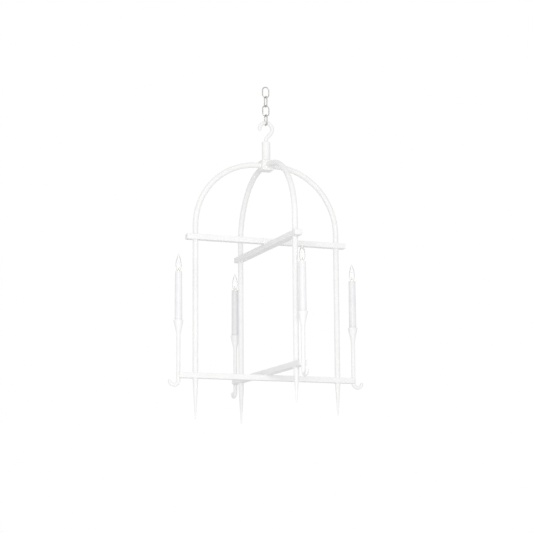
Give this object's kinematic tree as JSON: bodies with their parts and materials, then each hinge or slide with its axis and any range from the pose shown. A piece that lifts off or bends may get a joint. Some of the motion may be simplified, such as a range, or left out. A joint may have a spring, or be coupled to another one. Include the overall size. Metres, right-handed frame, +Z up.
{
  "type": "chain lantern",
  "caption": "Open cage lantern of crossed arched rods on flat crossed bars, hung by a ring hook and chain, with candle lamps on outer arms.",
  "frame": {"origin": "on the lantern's axis at the level of the longest leg point, the left one", "axes": "+Z up along the stem and chain; +X to the right candle, -Y to the front candle"},
  "size_m": [0.6962, 0.6962, 1.1446],
  "materials": {
    "painted_rod": "matt white plaster-look paint on bent steel rod",
    "painted_bar": "matt white plaster-look paint on flat steel bar",
    "painted_hub": "matt white paint",
    "painted_cup": "matt white paint on a turned cup",
    "chain": "pale grey metal chain with a soft shine",
    "sleeve": "satin white candle tube with a faint cool tint",
    "zinc": "zinc plated steel tube",
    "insulator": "moulded lamp socket insulator",
    "brass": "bright brass",
    "glass": "clear flame bulb glass",
    "filament": "thin lamp filament wire"
  },
  "bodies": {
    "chain_link_1": {"chain_link_1": "chain"},
    "chain_link_2": {"chain_link_2": "chain"},
    "chain_link_3": {"chain_link_3": "chain"},
    "chain_link_4": {"chain_link_4": "chain"},
    "lantern": {"hub": "painted_hub", "stem": "painted_hub", "top_hook": "painted_rod", "upper_bar_x": "painted_bar", "upper_bar_y": "painted_bar", "lower_bar_x": "painted_bar", "lower_bar_y": "painted_bar", "leg_right": "painted_rod", "candle_arm_right": "painted_rod", "candle_cup_right": "painted_cup", "socket_riser_right": "zinc", "socket_body_right": "insulator", "socket_shell_right": "brass", "socket_contact_right": "brass", "leg_back": "painted_rod", "candle_arm_back": "painted_rod", "candle_cup_back": "painted_cup", "socket_riser_back": "zinc", "socket_body_back": "insulator", "socket_shell_back": "brass", "socket_contact_back": "brass", "leg_left": "painted_rod", "candle_arm_left": "painted_rod", "candle_cup_left": "painted_cup", "socket_riser_left": "zinc", "socket_body_left": "insulator", "socket_shell_left": "brass", "socket_contact_left": "brass", "leg_front": "painted_rod", "candle_arm_front": "painted_rod", "candle_cup_front": "painted_cup", "socket_riser_front": "zinc", "socket_body_front": "insulator", "socket_shell_front": "brass", "socket_contact_front": "brass"},
    "sleeve_right": {"candle_sleeve_right": "sleeve"},
    "bulb_right": {"bulb_glass_right": "glass", "bulb_cap_right": "brass", "bulb_filament_right": "filament"},
    "sleeve_back": {"candle_sleeve_back": "sleeve"},
    "bulb_back": {"bulb_glass_back": "glass", "bulb_cap_back": "brass", "bulb_filament_back": "filament"},
    "sleeve_left": {"candle_sleeve_left": "sleeve"},
    "bulb_left": {"bulb_glass_left": "glass", "bulb_cap_left": "brass", "bulb_filament_left": "filament"},
    "sleeve_front": {"candle_sleeve_front": "sleeve"},
    "bulb_front": {"bulb_glass_front": "glass", "bulb_cap_front": "brass", "bulb_filament_front": "filament"}
  },
  "joints": [
    {"name": "chain_swing_2", "type": "hinge", "parent": "chain_link_1", "child": "chain_link_2", "pos_m": [0, 0, 1.10563], "axis": [1, 0, 0], "range_deg": [-45, 45]},
    {"name": "chain_swing_3", "type": "hinge", "parent": "chain_link_2", "child": "chain_link_3", "pos_m": [0, 0, 1.07313], "axis": [0, 1, 0], "range_deg": [-45, 45]},
    {"name": "chain_swing_4", "type": "hinge", "parent": "chain_link_3", "child": "chain_link_4", "pos_m": [0, 0, 1.04063], "axis": [1, 0, 0], "range_deg": [-45, 45]},
    {"name": "lantern_swing", "type": "hinge", "parent": "chain_link_4", "child": "lantern", "pos_m": [0, 0, 1.00813], "axis": [0, 1, 0], "range_deg": [-45, 45]},
    {"name": "sleeve_lift_right", "type": "slide", "parent": "lantern", "child": "sleeve_right", "axis": [0, 0, 1], "range_m": [0, 0.23]},
    {"name": "bulb_turn_right", "type": "hinge", "parent": "lantern", "child": "bulb_right", "pos_m": [0.3126, 0, 0.4843], "axis": [0, 0, 1], "range_deg": [0, 1260]},
    {"name": "sleeve_lift_back", "type": "slide", "parent": "lantern", "child": "sleeve_back", "axis": [0, 0, 1], "range_m": [0, 0.23]},
    {"name": "bulb_turn_back", "type": "hinge", "parent": "lantern", "child": "bulb_back", "pos_m": [0, 0.3126, 0.4843], "axis": [0, 0, 1], "range_deg": [0, 1260]},
    {"name": "sleeve_lift_left", "type": "slide", "parent": "lantern", "child": "sleeve_left", "axis": [0, 0, 1], "range_m": [0, 0.23]},
    {"name": "bulb_turn_left", "type": "hinge", "parent": "lantern", "child": "bulb_left", "pos_m": [-0.3126, 0, 0.4843], "axis": [0, 0, 1], "range_deg": [0, 1260]},
    {"name": "sleeve_lift_front", "type": "slide", "parent": "lantern", "child": "sleeve_front", "axis": [0, 0, 1], "range_m": [0, 0.23]},
    {"name": "bulb_turn_front", "type": "hinge", "parent": "lantern", "child": "bulb_front", "pos_m": [0, -0.3126, 0.4843], "axis": [0, 0, 1], "range_deg": [0, 1260]}
  ]
}
